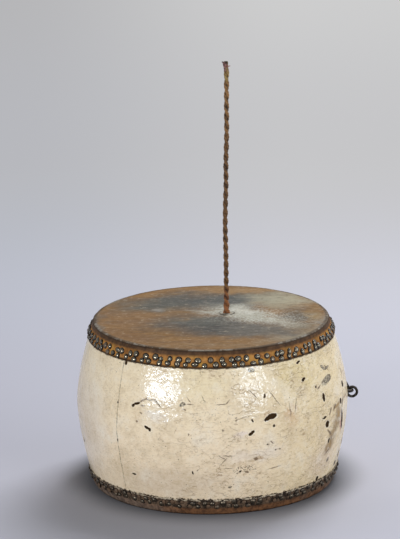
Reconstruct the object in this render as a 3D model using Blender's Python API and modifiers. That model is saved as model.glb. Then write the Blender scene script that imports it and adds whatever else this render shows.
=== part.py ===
"""Friction drum: a stave-built barrel, two nailed hides, a pull cord knotted under the top hide, and a ring.

Metres, +Z up. The drum stands on its lower hide, with the origin at the centre of that hide's resting face.
-Y is the front, and +X is the side that carries the iron ring.
"""
import math

import bmesh
import bpy
from mathutils import Matrix, Vector

# The barrel
DRUM_HEIGHT = 0.278
BELLY_RADIUS = 0.225
TOP_END_RADIUS = 0.194
BOTTOM_END_RADIUS = 0.1994
BARREL_CURVE = 1.6
STAVE_THICKNESS = 0.014
STAVE_COUNT = 16
FACETS_PER_STAVE = 4
FIRST_JOINT_ANGLE = math.radians(-132.4)
BELLY_STEPS = 6

# The hides, lapped over the barrel's ends
HIDE_THICKNESS = 0.0015
SKIRT_DEPTH = 0.028
RIDGE_ROUND = 0.003

# The pull cord and its anchor under the top hide
CORD_RADIUS = 0.004
CORD_PLACE_RIGHT = 0.0265
CORD_PLACE_BACK = 0.0212
CORD_NECK_RADIUS = 0.0034
CORD_NECK_STAND = 0.0005
KNOT_RADIUS = 0.0105
KNOT_HEIGHT = 0.017
ANCHOR_RADIUS = 0.0125
ANCHOR_THICKNESS = 0.002
WHIPPING_LENGTH = 0.013
WHIPPING_THICKNESS = 0.0008
WHIPPING_BELOW_TIP = 0.0035

# The cord's line above its pivot: how far it stands to the right, and how high it is there
CORD_ROUTE = (
    (0.0000, 0.000),
    (0.0000, 0.021),
    (0.0001, 0.042),
    (0.0003, 0.062),
    (0.0005, 0.083),
    (0.0004, 0.104),
    (0.0002, 0.124),
    (0.0001, 0.145),
    (0.0006, 0.165),
    (0.0013, 0.186),
    (0.0023, 0.206),
    (0.0028, 0.227),
    (0.0029, 0.247),
    (0.0036, 0.267),
    (0.0047, 0.288),
    (0.0053, 0.308),
    (0.0054, 0.328),
    (0.0056, 0.348),
    (0.0060, 0.368),
    (0.0064, 0.388),
    (0.0065, 0.408),
    (0.0062, 0.423),
)

# The iron eye and its ring, on the right-hand side at mid-height
EYE_ANGLE = math.radians(5.5)
EYE_WIRE_RADIUS = 0.0022
EYE_REACH = 0.0105
EYE_TAIL_RISE = 0.0155
EYE_TAIL_TIP_RADIUS = 0.0007
EYE_CLENCH_LENGTH = 0.012
RING_WIRE_RADIUS = 0.0019
RING_RADIUS = 0.0081

# Clearances between neighbouring solids
GAP = 0.0003
SIDE_GAP = 0.0004
BORE_GAP = 0.0006

# Facets of the round pieces
FACETS = STAVE_COUNT * FACETS_PER_STAVE
CORD_SIDES = 12
KNOT_STEPS = 5
RING_STEPS = 24
WIRE_SIDES = 8
TUBE_STEP = 2.5

# Sizes that follow from the ones above
MID_HEIGHT = DRUM_HEIGHT / 2
WOOD_END_INSET = HIDE_THICKNESS + GAP
WOOD_TOP = DRUM_HEIGHT - WOOD_END_INSET
WOOD_BOTTOM = WOOD_END_INSET
EYE_LEG_PLACE = RING_WIRE_RADIUS + EYE_WIRE_RADIUS + SIDE_GAP
CORD_PIVOT_HEIGHT = DRUM_HEIGHT + CORD_NECK_STAND + GAP + CORD_RADIUS
MERGE = 0.00001


def start_empty():
    """Remove the scene's objects, and make one collection for the parts and one for the cutters."""
    for item in list(bpy.data.objects):
        bpy.data.objects.remove(item, do_unlink=True)
    parts = bpy.data.collections.new("friction_drum")
    cutters = bpy.data.collections.new("cutters")
    bpy.context.scene.collection.children.link(parts)
    bpy.context.scene.collection.children.link(cutters)
    return parts, cutters


PARTS, CUTTERS = start_empty()


def make_material(name, color, roughness, metallic=0.0):
    """One plain finish."""
    material = bpy.data.materials.new(name)
    material.use_nodes = True
    shader = material.node_tree.nodes["Principled BSDF"]
    shader.inputs["Base Color"].default_value = (*color, 1.0)
    shader.inputs["Roughness"].default_value = roughness
    shader.inputs["Metallic"].default_value = metallic
    return material


LACQUERED_WOOD = make_material("ivory_lacquered_wood", (0.66, 0.57, 0.42), 0.28)
TOP_HIDE = make_material("brown_drum_hide", (0.22, 0.13, 0.07), 0.6)
BOTTOM_HIDE = make_material("dark_drum_hide", (0.10, 0.05, 0.03), 0.65)
FORGED_IRON = make_material("forged_iron", (0.05, 0.045, 0.04), 0.5, 0.85)
CORD_FIBRE = make_material("brown_cord_fibre", (0.12, 0.06, 0.035), 0.8)
THREAD = make_material("violet_thread", (0.22, 0.07, 0.14), 0.75)
LEATHER = make_material("tan_leather", (0.20, 0.10, 0.05), 0.7)


def add_object(name, data, material, collection=PARTS):
    """Put a mesh or a curve in the scene under a plain name."""
    item = bpy.data.objects.new(name, data)
    collection.objects.link(item)
    if material:
        data.materials.append(material)
    return item


def add_cutter(name, data):
    """A shape that only cuts others."""
    cutter = add_object(name, data, None, CUTTERS)
    cutter.hide_render = True
    cutter.display_type = "WIRE"
    return cutter


def shade_round(mesh, sharp_angle=math.radians(35)):
    """Smooth shading with the real edges kept sharp."""
    mesh.shade_smooth()
    mesh.set_sharp_from_angle(angle=sharp_angle)


def cut(item, cutter):
    """Take a cutter's shape out of a piece."""
    modifier = item.modifiers.new("cut_" + cutter.name, "BOOLEAN")
    modifier.operation = "DIFFERENCE"
    modifier.object = cutter


def turned(name, profile, steps, material, collection=PARTS):
    """Turn a profile of (radius, height) points about the Z axis."""
    mesh = bpy.data.meshes.new(name)
    points = [(radius, 0.0, height) for radius, height in profile]
    edges = [(index, index + 1) for index in range(len(points) - 1)]
    mesh.from_pydata(points, edges, [])
    item = add_object(name, mesh, material, collection)
    screw = item.modifiers.new("turn", "SCREW")
    screw.steps = steps
    screw.render_steps = steps
    screw.use_merge_vertices = True
    screw.merge_threshold = MERGE
    return item


def tube(name, points, radius, material, sides=WIRE_SIDES, thickness=None):
    """A wire or cord with filled caps along a line of points, with its thickness given at each if it tapers."""
    curve = bpy.data.curves.new(name, "CURVE")
    curve.dimensions = "3D"
    curve.bevel_depth = radius
    curve.bevel_resolution = sides // 2 - 2
    curve.use_fill_caps = True
    spline = curve.splines.new("POLY")
    spline.points.add(len(points) - 1)
    for index, place in enumerate(points):
        spline.points[index].co = (*place, 1.0)
        spline.points[index].radius = thickness[index] if thickness else 1.0
    return add_object(name, curve, material)


def wood_radius(height):
    """Outer radius of the barrel at a height."""
    if height >= MID_HEIGHT:
        span = WOOD_TOP - MID_HEIGHT
        end_radius = TOP_END_RADIUS
    else:
        span = MID_HEIGHT - WOOD_BOTTOM
        end_radius = BOTTOM_END_RADIUS
    share = abs(height - MID_HEIGHT) / span
    return BELLY_RADIUS - (BELLY_RADIUS - end_radius) * share ** BARREL_CURVE


def barrel_levels():
    """Heights at which the barrel's facets meet: its ends, the hides' edges, and steps over the belly."""
    low = SKIRT_DEPTH
    high = DRUM_HEIGHT - SKIRT_DEPTH
    belly = [low + (high - low) * step / BELLY_STEPS for step in range(BELLY_STEPS + 1)]
    return [WOOD_BOTTOM, *belly, WOOD_TOP]


def facet_radius(height):
    """Distance from the axis to the middle of the barrel's flat facets at a height."""
    levels = barrel_levels()
    for low, high in zip(levels, levels[1:]):
        if low <= height <= high:
            share = (height - low) / (high - low)
            radius = wood_radius(low) + (wood_radius(high) - wood_radius(low)) * share
    return radius * math.cos(math.pi / FACETS)


def make_stave(index):
    """One stave: its upright section swept round its share of the barrel."""
    joint_angle = GAP / (TOP_END_RADIUS - STAVE_THICKNESS)
    width_angle = 2 * math.pi / STAVE_COUNT - joint_angle
    start_angle = FIRST_JOINT_ANGLE + index * 2 * math.pi / STAVE_COUNT + joint_angle / 2
    levels = barrel_levels()
    outer = [(wood_radius(height), height) for height in levels]
    inner = [(radius - STAVE_THICKNESS, height) for radius, height in reversed(outer)]
    shape = bmesh.new()
    section = [shape.verts.new((radius, 0.0, height)) for radius, height in outer + inner]
    shape.faces.new(section)
    bmesh.ops.rotate(shape, verts=shape.verts, matrix=Matrix.Rotation(start_angle, 3, "Z"))
    bmesh.ops.spin(
        shape,
        geom=shape.verts[:] + shape.edges[:] + shape.faces[:],
        axis=(0.0, 0.0, 1.0),
        angle=width_angle,
        steps=FACETS_PER_STAVE,
    )
    open_edges = [edge for edge in shape.edges if edge.is_boundary]
    bmesh.ops.holes_fill(shape, edges=open_edges)
    bmesh.ops.recalc_face_normals(shape, faces=shape.faces)
    name = f"stave_{index + 1:02d}"
    mesh = bpy.data.meshes.new(name)
    shape.to_mesh(mesh)
    shape.free()
    return add_object(name, mesh, LACQUERED_WOOD)


class DrumEnd:
    """One end of the barrel: where its hide lies, with heights counted inward from the hide's face."""

    def __init__(self, name, face_height, inward):
        self.name = name
        self.face_height = face_height
        self.inward = inward

    def height(self, depth):
        return self.face_height + self.inward * depth

    def skirt_radius(self, depth, offset):
        """Radius of the straight, nailed part of the hide, at a depth and an offset from the wood."""
        end_depth = WOOD_END_INSET
        end_radius = wood_radius(self.height(end_depth))
        edge_radius = wood_radius(self.height(SKIRT_DEPTH))
        share = (depth - end_depth) / (SKIRT_DEPTH - end_depth)
        return end_radius + (edge_radius - end_radius) * share + offset

    def hide_profile(self):
        """The hide's section from its outer centre, over the ridge and down the skirt, and back inside."""
        outside = GAP + HIDE_THICKNESS
        corner = Vector((self.skirt_radius(0.0, outside), 0.0))
        edge = Vector((self.skirt_radius(SKIRT_DEPTH, outside), SKIRT_DEPTH))
        before = corner - Vector((RIDGE_ROUND, 0.0))
        after = corner + (edge - corner).normalized() * RIDGE_ROUND
        crest = before * 0.25 + corner * 0.5 + after * 0.25
        outer = [(0.0, 0.0), before, crest, after, edge]
        inner = [
            (self.skirt_radius(SKIRT_DEPTH, GAP), SKIRT_DEPTH),
            (self.skirt_radius(HIDE_THICKNESS, GAP), HIDE_THICKNESS),
            (0.0, HIDE_THICKNESS),
        ]
        profile = [(radius, self.height(depth)) for radius, depth in outer + inner]
        if self.inward > 0:
            profile.reverse()
        return profile


TOP_END = DrumEnd("top", DRUM_HEIGHT, -1)
BOTTOM_END = DrumEnd("bottom", 0.0, 1)


def make_hide(end, material):
    """One hide, drawn over the barrel's end and down its side."""
    hide = turned(end.name + "_head", end.hide_profile(), FACETS, material)
    hide.rotation_euler.z = FIRST_JOINT_ANGLE
    return hide


def make_bore(name, radius, sides, low, high, place):
    """A round cutter along Z between two heights, at a place."""
    mesh = bpy.data.meshes.new(name)
    shape = bmesh.new()
    bmesh.ops.create_cone(
        shape,
        cap_ends=True,
        segments=sides,
        radius1=radius,
        radius2=radius,
        depth=high - low,
        matrix=place @ Matrix.Translation((0.0, 0.0, (low + high) / 2)),
    )
    shape.to_mesh(mesh)
    shape.free()
    return add_cutter(name, mesh)


def make_anchor_washer(place):
    """The leather disc that spreads the knot's pull under the hide."""
    top = DRUM_HEIGHT - HIDE_THICKNESS - GAP
    bottom = top - ANCHOR_THICKNESS
    bore = CORD_NECK_RADIUS + BORE_GAP
    profile = [(bore, top), (ANCHOR_RADIUS, top), (ANCHOR_RADIUS, bottom), (bore, bottom), (bore, top)]
    washer = turned("anchor_washer", profile, CORD_SIDES * 2, LEATHER)
    washer.location = (place.x, place.y, 0.0)
    return washer


def make_cord_knot(place):
    """The cord's lower end: a neck up through the hide, and the knot that stops it below the washer."""
    neck_top = DRUM_HEIGHT + CORD_NECK_STAND
    knot_top = DRUM_HEIGHT - HIDE_THICKNESS - ANCHOR_THICKNESS - 2 * GAP - GAP
    profile = [(0.0, neck_top), (CORD_NECK_RADIUS, neck_top), (CORD_NECK_RADIUS, knot_top)]
    for step in range(1, KNOT_STEPS):
        turn = math.pi * step / KNOT_STEPS
        radius = KNOT_RADIUS * math.sin(turn) ** 0.7
        profile.append((radius, knot_top - KNOT_HEIGHT * (1 - math.cos(turn)) / 2))
    profile.append((0.0, knot_top - KNOT_HEIGHT))
    knot = turned("cord_knot", profile, CORD_SIDES, CORD_FIBRE)
    knot.location = (place.x, place.y, 0.0)
    return knot


def smooth_line(points, step):
    """Points at an even step along a smooth line through the given ones."""
    padded = [points[0] * 2 - points[1], *points, points[-1] * 2 - points[-2]]
    fine = []
    for before, start, end, after in zip(padded, padded[1:], padded[2:], padded[3:]):
        for share in (number / 8 for number in range(8)):
            fine.append(
                0.5 * (
                    2 * start
                    + (end - before) * share
                    + (2 * before - 5 * start + 4 * end - after) * share ** 2
                    + (3 * start - before - 3 * end + after) * share ** 3
                )
            )
    fine.append(points[-1])
    length = sum((end - start).length for start, end in zip(fine, fine[1:]))
    count = max(2, round(length / step))
    line = [fine[0]]
    travelled = 0.0
    for start, end in zip(fine, fine[1:]):
        piece = (end - start).length
        while len(line) < count and travelled + piece >= length * len(line) / count:
            share = (length * len(line) / count - travelled) / piece
            line.append(start.lerp(end, share))
        travelled += piece
    line.append(fine[-1])
    return line


def make_pull_cord(pivot):
    """The cord above the hide, with a round lower end centred on the point about which it leans."""
    route = [pivot + Vector((right, 0.0, rise)) for right, rise in CORD_ROUTE]
    line = smooth_line(route, TUBE_STEP * 2 * CORD_RADIUS)
    foot = []
    foot_thickness = []
    for degrees in (20, 45, 70):
        turn = math.radians(degrees)
        foot.append(pivot - Vector((0.0, 0.0, CORD_RADIUS * math.cos(turn))))
        foot_thickness.append(math.sin(turn))
    thickness = foot_thickness + [1.0] * len(line)
    return tube("pull_cord", foot + line, CORD_RADIUS, CORD_FIBRE, CORD_SIDES, thickness)


def make_whipping(pivot):
    """The thread bound round the cord just below its tip."""
    tip = pivot + Vector((CORD_ROUTE[-1][0], 0.0, CORD_ROUTE[-1][1]))
    top = tip.z - WHIPPING_BELOW_TIP
    bottom = top - WHIPPING_LENGTH
    inside = CORD_RADIUS + GAP
    outside = inside + WHIPPING_THICKNESS
    profile = [(inside, top), (outside, top), (outside, bottom), (inside, bottom), (inside, top)]
    whipping = turned("cord_whipping", profile, CORD_SIDES, THREAD)
    whipping.location = (tip.x, tip.y, 0.0)
    return whipping


def arc_points(centre, first, second, radius, start_degrees, end_degrees, count):
    """Points along an arc in the plane of two directions."""
    points = []
    for step in range(count):
        turn = math.radians(start_degrees + (end_degrees - start_degrees) * step / (count - 1))
        points.append(centre + first * radius * math.cos(turn) + second * radius * math.sin(turn))
    return points


def make_ring_eye():
    """The forged eye: one wire clenched inside, out through the stave, round, and up the wood in a thin tail."""
    out = Vector((math.cos(EYE_ANGLE), math.sin(EYE_ANGLE), 0.0))
    along = Vector((-math.sin(EYE_ANGLE), math.cos(EYE_ANGLE), 0.0))
    up = Vector((0.0, 0.0, 1.0))
    surface = facet_radius(MID_HEIGHT)
    centre = up * MID_HEIGHT
    bend = 2 * EYE_WIRE_RADIUS
    shank = centre - along * EYE_LEG_PLACE
    leg = centre + along * EYE_LEG_PLACE
    inner_face = surface - STAVE_THICKNESS - GAP - bend
    clench_corner = shank + out * (inner_face + bend) - up * bend
    arch_centre = centre + out * (surface + EYE_REACH - EYE_LEG_PLACE)
    tail_line = surface + EYE_WIRE_RADIUS + SIDE_GAP
    tail_corner = leg + out * (tail_line + bend) + up * bend
    clench = [
        shank + out * inner_face - up * EYE_CLENCH_LENGTH,
        *arc_points(clench_corner, out, up, bend, 180, 90, 4),
    ]
    arch = arc_points(arch_centre, along, out, EYE_LEG_PLACE, 180, 0, 9)
    tail_bend = arc_points(tail_corner, out, up, bend, 270, 180, 4)
    tip_reach = facet_radius(MID_HEIGHT + EYE_TAIL_RISE) + EYE_TAIL_TIP_RADIUS + SIDE_GAP
    tail_tip = leg + out * tip_reach + up * EYE_TAIL_RISE
    tail = [tail_bend[-1].lerp(tail_tip, share) for share in (0.5, 1.0)]
    points = clench + arch + tail_bend + tail
    tip_share = EYE_TAIL_TIP_RADIUS / EYE_WIRE_RADIUS
    thickness = [1.0] * (len(points) - 3) + [0.9, (0.9 + tip_share) / 2, tip_share]
    thickness[0] = 0.5
    return tube("ring_eye", points, EYE_WIRE_RADIUS, FORGED_IRON, WIRE_SIDES, thickness)


def make_eye_hole():
    """The hole through the stave for the eye's shank."""
    surface = facet_radius(MID_HEIGHT)
    turn = Matrix.Rotation(EYE_ANGLE, 4, "Z") @ Matrix.Translation((0.0, -EYE_LEG_PLACE, MID_HEIGHT))
    place = turn @ Matrix.Rotation(math.radians(90), 4, "Y")
    low = surface - 2 * STAVE_THICKNESS
    high = surface + STAVE_THICKNESS
    return make_bore("eye_hole", EYE_WIRE_RADIUS + BORE_GAP, WIRE_SIDES, low, high, place)


def make_hanging_ring():
    """The ring, hanging from the eye's arch and free to swing out and up."""
    pivot_radius = facet_radius(MID_HEIGHT) + EYE_REACH
    hang = RING_RADIUS - RING_WIRE_RADIUS - EYE_WIRE_RADIUS - GAP
    bpy.ops.mesh.primitive_torus_add(
        major_segments=RING_STEPS,
        minor_segments=WIRE_SIDES,
        major_radius=RING_RADIUS,
        minor_radius=RING_WIRE_RADIUS,
    )
    ring = bpy.context.active_object
    ring.name = "hanging_ring"
    ring.data.name = "hanging_ring"
    for collection in list(ring.users_collection):
        collection.objects.unlink(ring)
    PARTS.objects.link(ring)
    ring.data.transform(Matrix.Translation((0.0, 0.0, -hang)) @ Matrix.Rotation(math.radians(90), 4, "X"))
    ring.data.materials.append(FORGED_IRON)
    shade_round(ring.data)
    ring.location = (pivot_radius * math.cos(EYE_ANGLE), pivot_radius * math.sin(EYE_ANGLE), MID_HEIGHT)
    ring.rotation_euler.z = EYE_ANGLE
    return ring


def build_drum():
    """Put the whole drum together."""
    staves = [make_stave(index) for index in range(STAVE_COUNT)]
    top_head = make_hide(TOP_END, TOP_HIDE)
    make_hide(BOTTOM_END, BOTTOM_HIDE)

    cord_place = Vector((CORD_PLACE_RIGHT, CORD_PLACE_BACK, CORD_PIVOT_HEIGHT))
    flat_place = Matrix.Translation((CORD_PLACE_RIGHT, CORD_PLACE_BACK, 0.0))
    hide_low = DRUM_HEIGHT - 2 * HIDE_THICKNESS
    hide_high = DRUM_HEIGHT + HIDE_THICKNESS
    cord_hole = make_bore("cord_hole", CORD_NECK_RADIUS + BORE_GAP, CORD_SIDES, hide_low, hide_high, flat_place)
    cut(top_head, cord_hole)
    make_anchor_washer(cord_place)
    make_cord_knot(cord_place)
    make_pull_cord(cord_place)
    make_whipping(cord_place)

    make_ring_eye()
    make_hanging_ring()
    eye_hole = make_eye_hole()
    full_turn = 2 * math.pi
    eye_stave = int(((EYE_ANGLE - FIRST_JOINT_ANGLE) % full_turn) / (full_turn / STAVE_COUNT))
    cut(staves[eye_stave], eye_hole)


build_drum()
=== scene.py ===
import math

import bmesh
import bpy
import numpy as np
from mathutils import Matrix, Vector, noise


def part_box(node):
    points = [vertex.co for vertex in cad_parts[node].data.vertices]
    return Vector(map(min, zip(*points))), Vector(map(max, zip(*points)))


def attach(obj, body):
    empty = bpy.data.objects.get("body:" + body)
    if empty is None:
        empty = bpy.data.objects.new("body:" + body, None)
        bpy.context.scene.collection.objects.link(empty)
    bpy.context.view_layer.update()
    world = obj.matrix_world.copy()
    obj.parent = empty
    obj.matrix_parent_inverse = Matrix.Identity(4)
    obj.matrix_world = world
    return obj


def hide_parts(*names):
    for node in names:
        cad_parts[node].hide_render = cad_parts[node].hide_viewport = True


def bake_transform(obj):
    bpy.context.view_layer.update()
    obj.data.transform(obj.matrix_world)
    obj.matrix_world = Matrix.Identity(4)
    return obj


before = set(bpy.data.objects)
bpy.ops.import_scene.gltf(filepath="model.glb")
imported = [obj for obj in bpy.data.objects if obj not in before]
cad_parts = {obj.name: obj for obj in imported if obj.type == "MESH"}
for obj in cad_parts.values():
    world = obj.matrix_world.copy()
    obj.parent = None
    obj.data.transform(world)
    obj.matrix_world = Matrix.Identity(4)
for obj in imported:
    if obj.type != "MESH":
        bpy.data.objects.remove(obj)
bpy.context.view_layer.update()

# The camera looks at the drum's front from a little above, from six metres away,
# and is rolled by a degree.
CAMERA_DISTANCE = 6.0
CAMERA_ELEVATION = 0.3032
CAMERA_ROLL = -0.0193
CAMERA_LEVEL = 0.14
CAMERA_AIM = Vector((-0.0165, 0.0, 0.3595))
PICTURE_HEIGHT_PX = 539
FOCAL_LENGTH_PX = 3587.9
SENSOR_HEIGHT_MM = 24.0

lens = bpy.data.cameras.new("front_camera")
lens.sensor_fit = "VERTICAL"
lens.sensor_height = SENSOR_HEIGHT_MM
lens.lens = FOCAL_LENGTH_PX / PICTURE_HEIGHT_PX * SENSOR_HEIGHT_MM
camera = bpy.data.objects.new("front_camera", lens)
bpy.context.scene.collection.objects.link(camera)
camera.location = (
    0.0,
    -CAMERA_DISTANCE * math.cos(CAMERA_ELEVATION),
    CAMERA_LEVEL + CAMERA_DISTANCE * math.sin(CAMERA_ELEVATION),
)
facing = (CAMERA_AIM - camera.location).to_track_quat("-Z", "Y").to_matrix()
camera.rotation_euler = (facing @ Matrix.Rotation(CAMERA_ROLL, 3, "Z")).to_euler()
bpy.context.scene.camera = camera


# The barrel: sixteen bent staves, planed round, under one thick coat of ivory lacquer.
# The lacquer is wrinkled and specked, chipped to its dark ground, and split along one stave joint.
# The staves are the solids themselves. The lacquer is a thin skin over them, from hide to hide.
BELLY_RADIUS = 0.225
TOP_END_RADIUS = 0.194
BOTTOM_END_RADIUS = 0.1994
BARREL_CURVE = 1.6
WOOD_END_INSET = 0.0018
SKIRT_DEPTH = 0.028
LACQUER_INSIDE = 0.0002
LACQUER_OUTSIDE = 0.0009
LACQUER_TUCK = 0.004
LACQUER_FACETS = 480
OUTER_LEVELS = 150
INNER_LEVELS = 24
CHIP_DEPTH = 0.0005
BROAD_WAVE = 0.00025
PEEL_WAVE = 0.00007
FIRST_JOINT_ANGLE = math.radians(-132.4)
drum_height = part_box("top_head")[1][2]
middle_height = drum_height / 2


def wood_radius(height):
    """Outer radius of the staves at a height."""
    end_radius = TOP_END_RADIUS if height >= middle_height else BOTTOM_END_RADIUS
    share = abs(height - middle_height) / (middle_height - WOOD_END_INSET)
    return BELLY_RADIUS - (BELLY_RADIUS - end_radius) * share ** BARREL_CURVE


def turned_shape(profile, facets):
    """Turn a profile of (radius, height) about Z. Its UV map is metres round from the front, and height."""
    shape = bmesh.new()
    unrolled = shape.loops.layers.uv.new("unrolled")
    rings = []
    for radius, height in profile:
        ring = []
        for step in range(facets if radius > 0 else 1):
            turn = 2 * math.pi * (step / facets - 0.5)
            ring.append(shape.verts.new((radius * math.sin(turn), -radius * math.cos(turn), height)))
        rings.append(ring)
    for level in range(len(profile) - 1):
        upper, lower = rings[level], rings[level + 1]
        for step in range(facets):
            corners = [(level, step), (level + 1, step), (level + 1, step + 1), (level, step + 1)]
            if len(upper) == 1:
                corners.pop(3)
            if len(lower) == 1:
                corners.pop(2)
            face = shape.faces.new([rings[row][place % len(rings[row])] for row, place in corners])
            for loop, (row, place) in zip(face.loops, corners):
                loop[unrolled].uv = (2 * math.pi * BELLY_RADIUS * (place / facets - 0.5), profile[row][1])
    return shape


def finished(name, shape, material):
    """Make a closed shape a smooth piece of one material."""
    bmesh.ops.recalc_face_normals(shape, faces=shape.faces)
    mesh = bpy.data.meshes.new(name)
    shape.to_mesh(mesh)
    shape.free()
    mesh.shade_smooth()
    mesh.materials.append(material)
    piece = bpy.data.objects.new(name, mesh)
    bpy.context.scene.collection.objects.link(piece)
    return piece


def screen(red, green, blue):
    """A colour in screen numbers from 0 to 255, as the linear values that a shader takes."""
    shares = [value / 255 for value in (red, green, blue)]
    return tuple(share / 12.92 if share <= 0.04045 else ((share + 0.055) / 1.055) ** 2.4 for share in shares)


class Amount:
    """A number that varies over a surface. Arithmetic on it adds the shader's Math nodes."""

    def __init__(self, finish, socket):
        self.finish = finish
        self.socket = socket

    def maths(self, operation, first, second=0.0):
        return self.finish.node("ShaderNodeMath", {"operation": operation}, {0: first, 1: second})

    def __add__(self, other):
        return self.maths("ADD", self, other)

    def __sub__(self, other):
        return self.maths("SUBTRACT", self, other)

    def __rsub__(self, other):
        return self.maths("SUBTRACT", other, self)

    def __mul__(self, other):
        return self.maths("MULTIPLY", self, other)

    def __truediv__(self, other):
        return self.maths("DIVIDE", self, other)

    def __abs__(self):
        return self.maths("ABSOLUTE", self)

    __radd__ = __add__
    __rmul__ = __mul__

    def or_more(self, other):
        return self.maths("MAXIMUM", self, other)


class Finish:
    """One material and the nodes that make it."""

    def __init__(self, name):
        self.material = bpy.data.materials.new(name)
        self.material.use_nodes = True
        self.tree = self.material.node_tree
        self.shader = self.tree.nodes["Principled BSDF"]

    def node(self, kind, settings=None, inputs=None, output=0):
        """Add a node: its settings first, then its sockets' values or links."""
        node = self.tree.nodes.new(kind)
        for setting, value in (settings or {}).items():
            setattr(node, setting, value)
        for socket, value in (inputs or {}).items():
            self.feed(node.inputs[socket], value)
        return Amount(self, node.outputs[output])

    def feed(self, socket, value):
        """Link an amount to a socket, or set the socket's own value."""
        if isinstance(value, Amount):
            self.tree.links.new(value.socket, socket)
        elif socket.type == "RGBA":
            socket.default_value = (*value, 1.0)
        else:
            socket.default_value = value

    def place(self, scale=(1.0, 1.0, 1.0)):
        """The point on the object, in metres, squeezed by a scale."""
        here = self.node("ShaderNodeTexCoord", output="Object")
        return self.node("ShaderNodeMapping", {}, {"Vector": here, "Scale": scale})

    def along(self, vector, axis):
        return self.node("ShaderNodeSeparateXYZ", {}, {0: vector}, axis)

    def cloud(self, scale, detail=4.0, roughness=0.55, place=None):
        """Soft random patches from 0 to 1."""
        inputs = {"Vector": place or self.place(), "Scale": scale, "Detail": detail, "Roughness": roughness}
        return self.node("ShaderNodeTexNoise", {}, inputs)

    def shaken(self, point, scale, reach):
        """A point moved about at random, in patches as small as the scale is large."""
        inputs = {"Vector": self.place(), "Scale": scale, "Detail": 3.0, "Roughness": 0.6}
        drift = self.node("ShaderNodeTexNoise", {}, inputs, 1)
        middle = self.node("ShaderNodeVectorMath", {"operation": "SUBTRACT"}, {0: drift, 1: (0.5, 0.5, 0.5)})
        moved = {0: middle, 1: reach, 2: point}
        return self.node("ShaderNodeVectorMath", {"operation": "MULTIPLY_ADD"}, moved)

    def specks(self, scale, point):
        """Distance to the nearest of the points scattered over a flat map."""
        settings = {"feature": "F1", "voronoi_dimensions": "2D"}
        return self.node("ShaderNodeTexVoronoi", settings, {"Vector": point, "Scale": scale})

    def rise(self, amount, low, high, start=0.0, end=1.0):
        """Go smoothly from start to end as an amount goes from low to high."""
        inputs = {"Value": amount, "From Min": low, "From Max": high, "To Min": start, "To Max": end}
        return self.node("ShaderNodeMapRange", {"interpolation_type": "SMOOTHSTEP"}, inputs)

    def fall(self, amount, low, high, start=1.0):
        return self.rise(amount, low, high, start, 0.0)

    def tint(self, share, color, other):
        """Mix two colours."""
        return self.node("ShaderNodeMix", {"data_type": "RGBA"}, {0: share, 6: color, 7: other}, 2)

    def oval(self, point, right, up, half_width, half_height, tilt_degrees):
        """A tilted oval on a flat map: 1 in its middle, a half at its rim, and 0 from twice its size on."""
        inputs = {
            "Vector": point,
            "Location": (right, up, 0.0),
            "Rotation": (0.0, 0.0, math.radians(tilt_degrees)),
            "Scale": (2 * half_width, 2 * half_height, 1.0),
        }
        inside = self.node("ShaderNodeMapping", {"vector_type": "TEXTURE"}, inputs)
        return self.node("ShaderNodeTexGradient", {"gradient_type": "SPHERICAL"}, {"Vector": inside}, 1)

    def relief(self, height, depth, strength=1.0):
        """Let light show a height, of a depth in metres, on the surface."""
        bump = self.node("ShaderNodeBump", {}, {"Height": height, "Distance": depth, "Strength": strength})
        self.feed(self.shader.inputs["Normal"], bump)

    def bared(self, share, color):
        """Show dull ground of a colour where a share is high, in place of the finish."""
        ground = {"Base Color": color, "Roughness": 0.9, "Specular IOR Level": 0.1}
        ground = self.node("ShaderNodeBsdfPrincipled", {}, ground)
        whole = Amount(self, self.shader.outputs[0])
        both = self.node("ShaderNodeMixShader", {}, {0: share, 1: whole, 2: ground})
        self.feed(self.tree.nodes["Material Output"].inputs["Surface"], both)

    def made(self, values):
        """Set the shader's own sockets, and give the material."""
        for name, value in values.items():
            self.feed(self.shader.inputs[name], value)
        return self.material


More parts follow.
